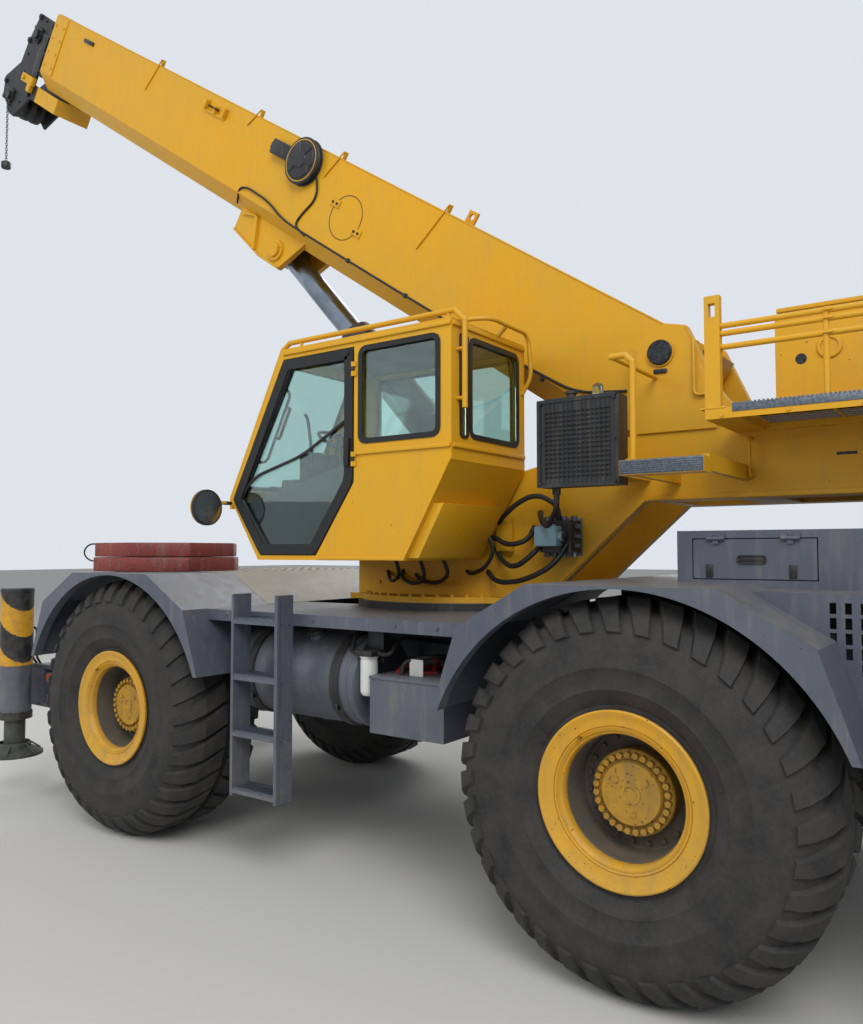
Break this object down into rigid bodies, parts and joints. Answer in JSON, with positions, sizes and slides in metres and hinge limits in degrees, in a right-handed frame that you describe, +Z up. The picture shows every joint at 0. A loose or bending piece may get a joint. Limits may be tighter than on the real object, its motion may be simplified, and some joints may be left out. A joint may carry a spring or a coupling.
{
  "type": "rough-terrain mobile crane",
  "caption": "Two-axle rough-terrain mobile crane with a slewing upper part, side cab, telescopic boom, lift cylinder and four box outriggers.",
  "frame": {"origin": "on the ground under the middle of the crane's box, boom included", "axes": "+X forward towards the boom's tip, +Y to the crane's left, the cab's side, +Z up"},
  "size_m": [10.6647, 3.31, 8.4106],
  "materials": {
    "yellow_paint": "satin yellow machine paint",
    "grey_paint": "satin blue-grey machine paint",
    "black_paint": "satin black paint",
    "red_paint": "worn dark red paint",
    "chrome_rod": "polished hard chrome",
    "tyre": "dusty black rubber",
    "glass": "tinted safety glass",
    "seat_fabric": "black woven seat cloth",
    "cast_iron": "painted cast iron"
  },
  "bodies": {
    "carrier": {"carrier_frame": "grey_paint", "front_fenders": "grey_paint", "rear_fenders": "grey_paint", "decks": "grey_paint", "ladders": "grey_paint", "fuel_tank": "grey_paint", "oil_tank": "grey_paint", "battery_boxes": "grey_paint", "engine_cover": "grey_paint", "engine_block": "cast_iron", "outrigger_pads": "red_paint", "front_axle": "black_paint", "rear_axle": "black_paint", "drive_line": "black_paint", "slewing_ring": "black_paint"},
    "upper": {"turret_frame": "yellow_paint", "counterweight": "yellow_paint", "walkway": "yellow_paint", "cab_shell": "yellow_paint", "cab_glass": "glass", "seat_frame": "black_paint", "operator_seat": "seat_fabric", "cab_console": "black_paint", "oil_cooler": "black_paint", "cab_rails": "yellow_paint", "side_step": "yellow_paint", "valve_block": "black_paint"},
    "cab_door": {"cab_door": "black_paint", "door_glass": "glass"},
    "front_hoist": {"front_hoist_drum": "black_paint"},
    "rear_hoist": {"rear_hoist_drum": "black_paint"},
    "boom_base": {"boom_base": "yellow_paint"},
    "boom_second": {"boom_second": "yellow_paint"},
    "boom_third": {"boom_third": "yellow_paint"},
    "boom_tip": {"boom_tip": "black_paint"},
    "limit_weight": {"hoist_limit_weight": "black_paint"},
    "lift_rod": {"lift_rod": "chrome_rod"},
    "lift_barrel": {"lift_barrel": "black_paint"},
    "left_hood_door": {"left_hood_door": "grey_paint"},
    "right_hood_door": {"right_hood_door": "grey_paint"},
    "front_left_beam": {"front_left_beam": "black_paint"},
    "front_left_jack": {"front_left_jack": "black_paint"},
    "front_right_beam": {"front_right_beam": "black_paint"},
    "front_right_jack": {"front_right_jack": "black_paint"},
    "rear_left_beam": {"rear_left_beam": "black_paint"},
    "rear_left_jack": {"rear_left_jack": "black_paint"},
    "rear_right_beam": {"rear_right_beam": "black_paint"},
    "rear_right_jack": {"rear_right_jack": "black_paint"},
    "front_left_knuckle": {"front_left_knuckle": "black_paint"},
    "front_left_wheel": {"front_left_rim": "yellow_paint", "front_left_tyre": "tyre"},
    "front_right_knuckle": {"front_right_knuckle": "black_paint"},
    "front_right_wheel": {"front_right_rim": "yellow_paint", "front_right_tyre": "tyre"},
    "rear_left_knuckle": {"rear_left_knuckle": "black_paint"},
    "rear_left_wheel": {"rear_left_rim": "yellow_paint", "rear_left_tyre": "tyre"},
    "rear_right_knuckle": {"rear_right_knuckle": "black_paint"},
    "rear_right_wheel": {"rear_right_rim": "yellow_paint", "rear_right_tyre": "tyre"}
  },
  "joints": [
    {"name": "swing", "type": "hinge", "parent": "carrier", "child": "upper", "pos_m": [-1.3024, 0, 1.74], "axis": [0, 0, 1], "continuous": true},
    {"name": "boom_lift", "type": "hinge", "parent": "upper", "child": "boom_base", "pos_m": [-3.0324, 0, 3.28], "axis": [0, -1, 0], "range_deg": [-36.9, 42.1]},
    {"name": "boom_extend_second", "type": "slide", "parent": "boom_base", "child": "boom_second", "axis": [0.83, 0, 0.5577], "range_m": [0, 6.8]},
    {"name": "boom_extend_third", "type": "slide", "parent": "boom_second", "child": "boom_third", "axis": [0.83, 0, 0.5577], "range_m": [0, 6.8]},
    {"name": "boom_extend_tip", "type": "slide", "parent": "boom_third", "child": "boom_tip", "axis": [0.83, 0, 0.5577], "range_m": [0, 6.8]},
    {"name": "lift_rod_pin", "type": "hinge", "parent": "boom_base", "child": "lift_rod", "pos_m": [0.50961, 0, 4.73243], "axis": [0, -1, 0], "range_deg": [-3.45, 3.87]},
    {"name": "lift_stroke", "type": "slide", "parent": "lift_rod", "child": "lift_barrel", "axis": [-0.6738, 0, -0.7389], "range_m": [-0.9954, 1.1342]},
    {"name": "limit_weight_swivel", "type": "hinge", "parent": "boom_tip", "child": "limit_weight", "pos_m": [5.13378, 0.225, 7.51445], "axis": [0, -1, 0], "range_deg": [-42.6, 37.4]},
    {"name": "front_hoist_turn", "type": "hinge", "parent": "upper", "child": "front_hoist", "pos_m": [-3.9524, 0, 3.2], "axis": [0, 1, 0], "continuous": true},
    {"name": "rear_hoist_turn", "type": "hinge", "parent": "upper", "child": "rear_hoist", "pos_m": [-4.6724, 0, 3.2], "axis": [0, 1, 0], "continuous": true},
    {"name": "cab_door_hinge", "type": "hinge", "parent": "upper", "child": "cab_door", "pos_m": [-1.3694, 1.332, 2.45], "axis": [0, 0, 1], "range_deg": [0, 95]},
    {"name": "left_hood_door_hinge", "type": "hinge", "parent": "carrier", "child": "left_hood_door", "pos_m": [-3.6604, 0.892, 2.152], "axis": [1, 0, 0], "range_deg": [0, 85]},
    {"name": "right_hood_door_hinge", "type": "hinge", "parent": "carrier", "child": "right_hood_door", "pos_m": [-3.6604, -0.892, 2.152], "axis": [-1, 0, 0], "range_deg": [0, 85]},
    {"name": "front_left_beam_slide", "type": "slide", "parent": "carrier", "child": "front_left_beam", "axis": [0, 1, 0], "range_m": [0, 1.85]},
    {"name": "front_left_jack_slide", "type": "slide", "parent": "front_left_beam", "child": "front_left_jack", "axis": [0, 0, -1], "range_m": [0, 0.48]},
    {"name": "front_right_beam_slide", "type": "slide", "parent": "carrier", "child": "front_right_beam", "axis": [0, -1, 0], "range_m": [0, 1.85]},
    {"name": "front_right_jack_slide", "type": "slide", "parent": "front_right_beam", "child": "front_right_jack", "axis": [0, 0, -1], "range_m": [0, 0.48]},
    {"name": "rear_left_beam_slide", "type": "slide", "parent": "carrier", "child": "rear_left_beam", "axis": [0, 1, 0], "range_m": [0, 1.85]},
    {"name": "rear_left_jack_slide", "type": "slide", "parent": "rear_left_beam", "child": "rear_left_jack", "axis": [0, 0, -1], "range_m": [0, 0.48]},
    {"name": "rear_right_beam_slide", "type": "slide", "parent": "carrier", "child": "rear_right_beam", "axis": [0, -1, 0], "range_m": [0, 1.85]},
    {"name": "rear_right_jack_slide", "type": "slide", "parent": "rear_right_beam", "child": "rear_right_jack", "axis": [0, 0, -1], "range_m": [0, 0.48]},
    {"name": "front_left_steer", "type": "hinge", "parent": "carrier", "child": "front_left_knuckle", "pos_m": [0.7276, 1.125, 0.937], "axis": [0, 0, 1], "range_deg": [-18, 18]},
    {"name": "front_left_roll", "type": "hinge", "parent": "front_left_knuckle", "child": "front_left_wheel", "pos_m": [0.7276, 1.275, 0.937], "axis": [0, 1, 0], "continuous": true},
    {"name": "front_right_steer", "type": "hinge", "parent": "carrier", "child": "front_right_knuckle", "pos_m": [0.7276, -1.125, 0.937], "axis": [0, 0, 1], "range_deg": [-18, 18]},
    {"name": "front_right_roll", "type": "hinge", "parent": "front_right_knuckle", "child": "front_right_wheel", "pos_m": [0.7276, -1.275, 0.937], "axis": [0, 1, 0], "continuous": true},
    {"name": "rear_left_steer", "type": "hinge", "parent": "carrier", "child": "rear_left_knuckle", "pos_m": [-3.2324, 1.125, 0.937], "axis": [0, 0, 1], "range_deg": [-18, 18]},
    {"name": "rear_left_roll", "type": "hinge", "parent": "rear_left_knuckle", "child": "rear_left_wheel", "pos_m": [-3.2324, 1.275, 0.937], "axis": [0, 1, 0], "continuous": true},
    {"name": "rear_right_steer", "type": "hinge", "parent": "carrier", "child": "rear_right_knuckle", "pos_m": [-3.2324, -1.125, 0.937], "axis": [0, 0, 1], "range_deg": [-18, 18]},
    {"name": "rear_right_roll", "type": "hinge", "parent": "rear_right_knuckle", "child": "rear_right_wheel", "pos_m": [-3.2324, -1.275, 0.937], "axis": [0, 1, 0], "continuous": true}
  ],
  "couplings": [
    {"joint": "boom_extend_third", "follows": "boom_extend_second", "ratio": 1},
    {"joint": "boom_extend_tip", "follows": "boom_extend_second", "ratio": 1},
    {"joint": "lift_rod_pin", "follows": "boom_lift", "ratio": 0.08},
    {"joint": "lift_stroke", "follows": "boom_lift", "m_per_rad": 1.53},
    {"joint": "limit_weight_swivel", "follows": "boom_lift", "ratio": -1},
    {"joint": "front_right_steer", "follows": "front_left_steer", "ratio": 1},
    {"joint": "rear_right_steer", "follows": "rear_left_steer", "ratio": 1}
  ]
}
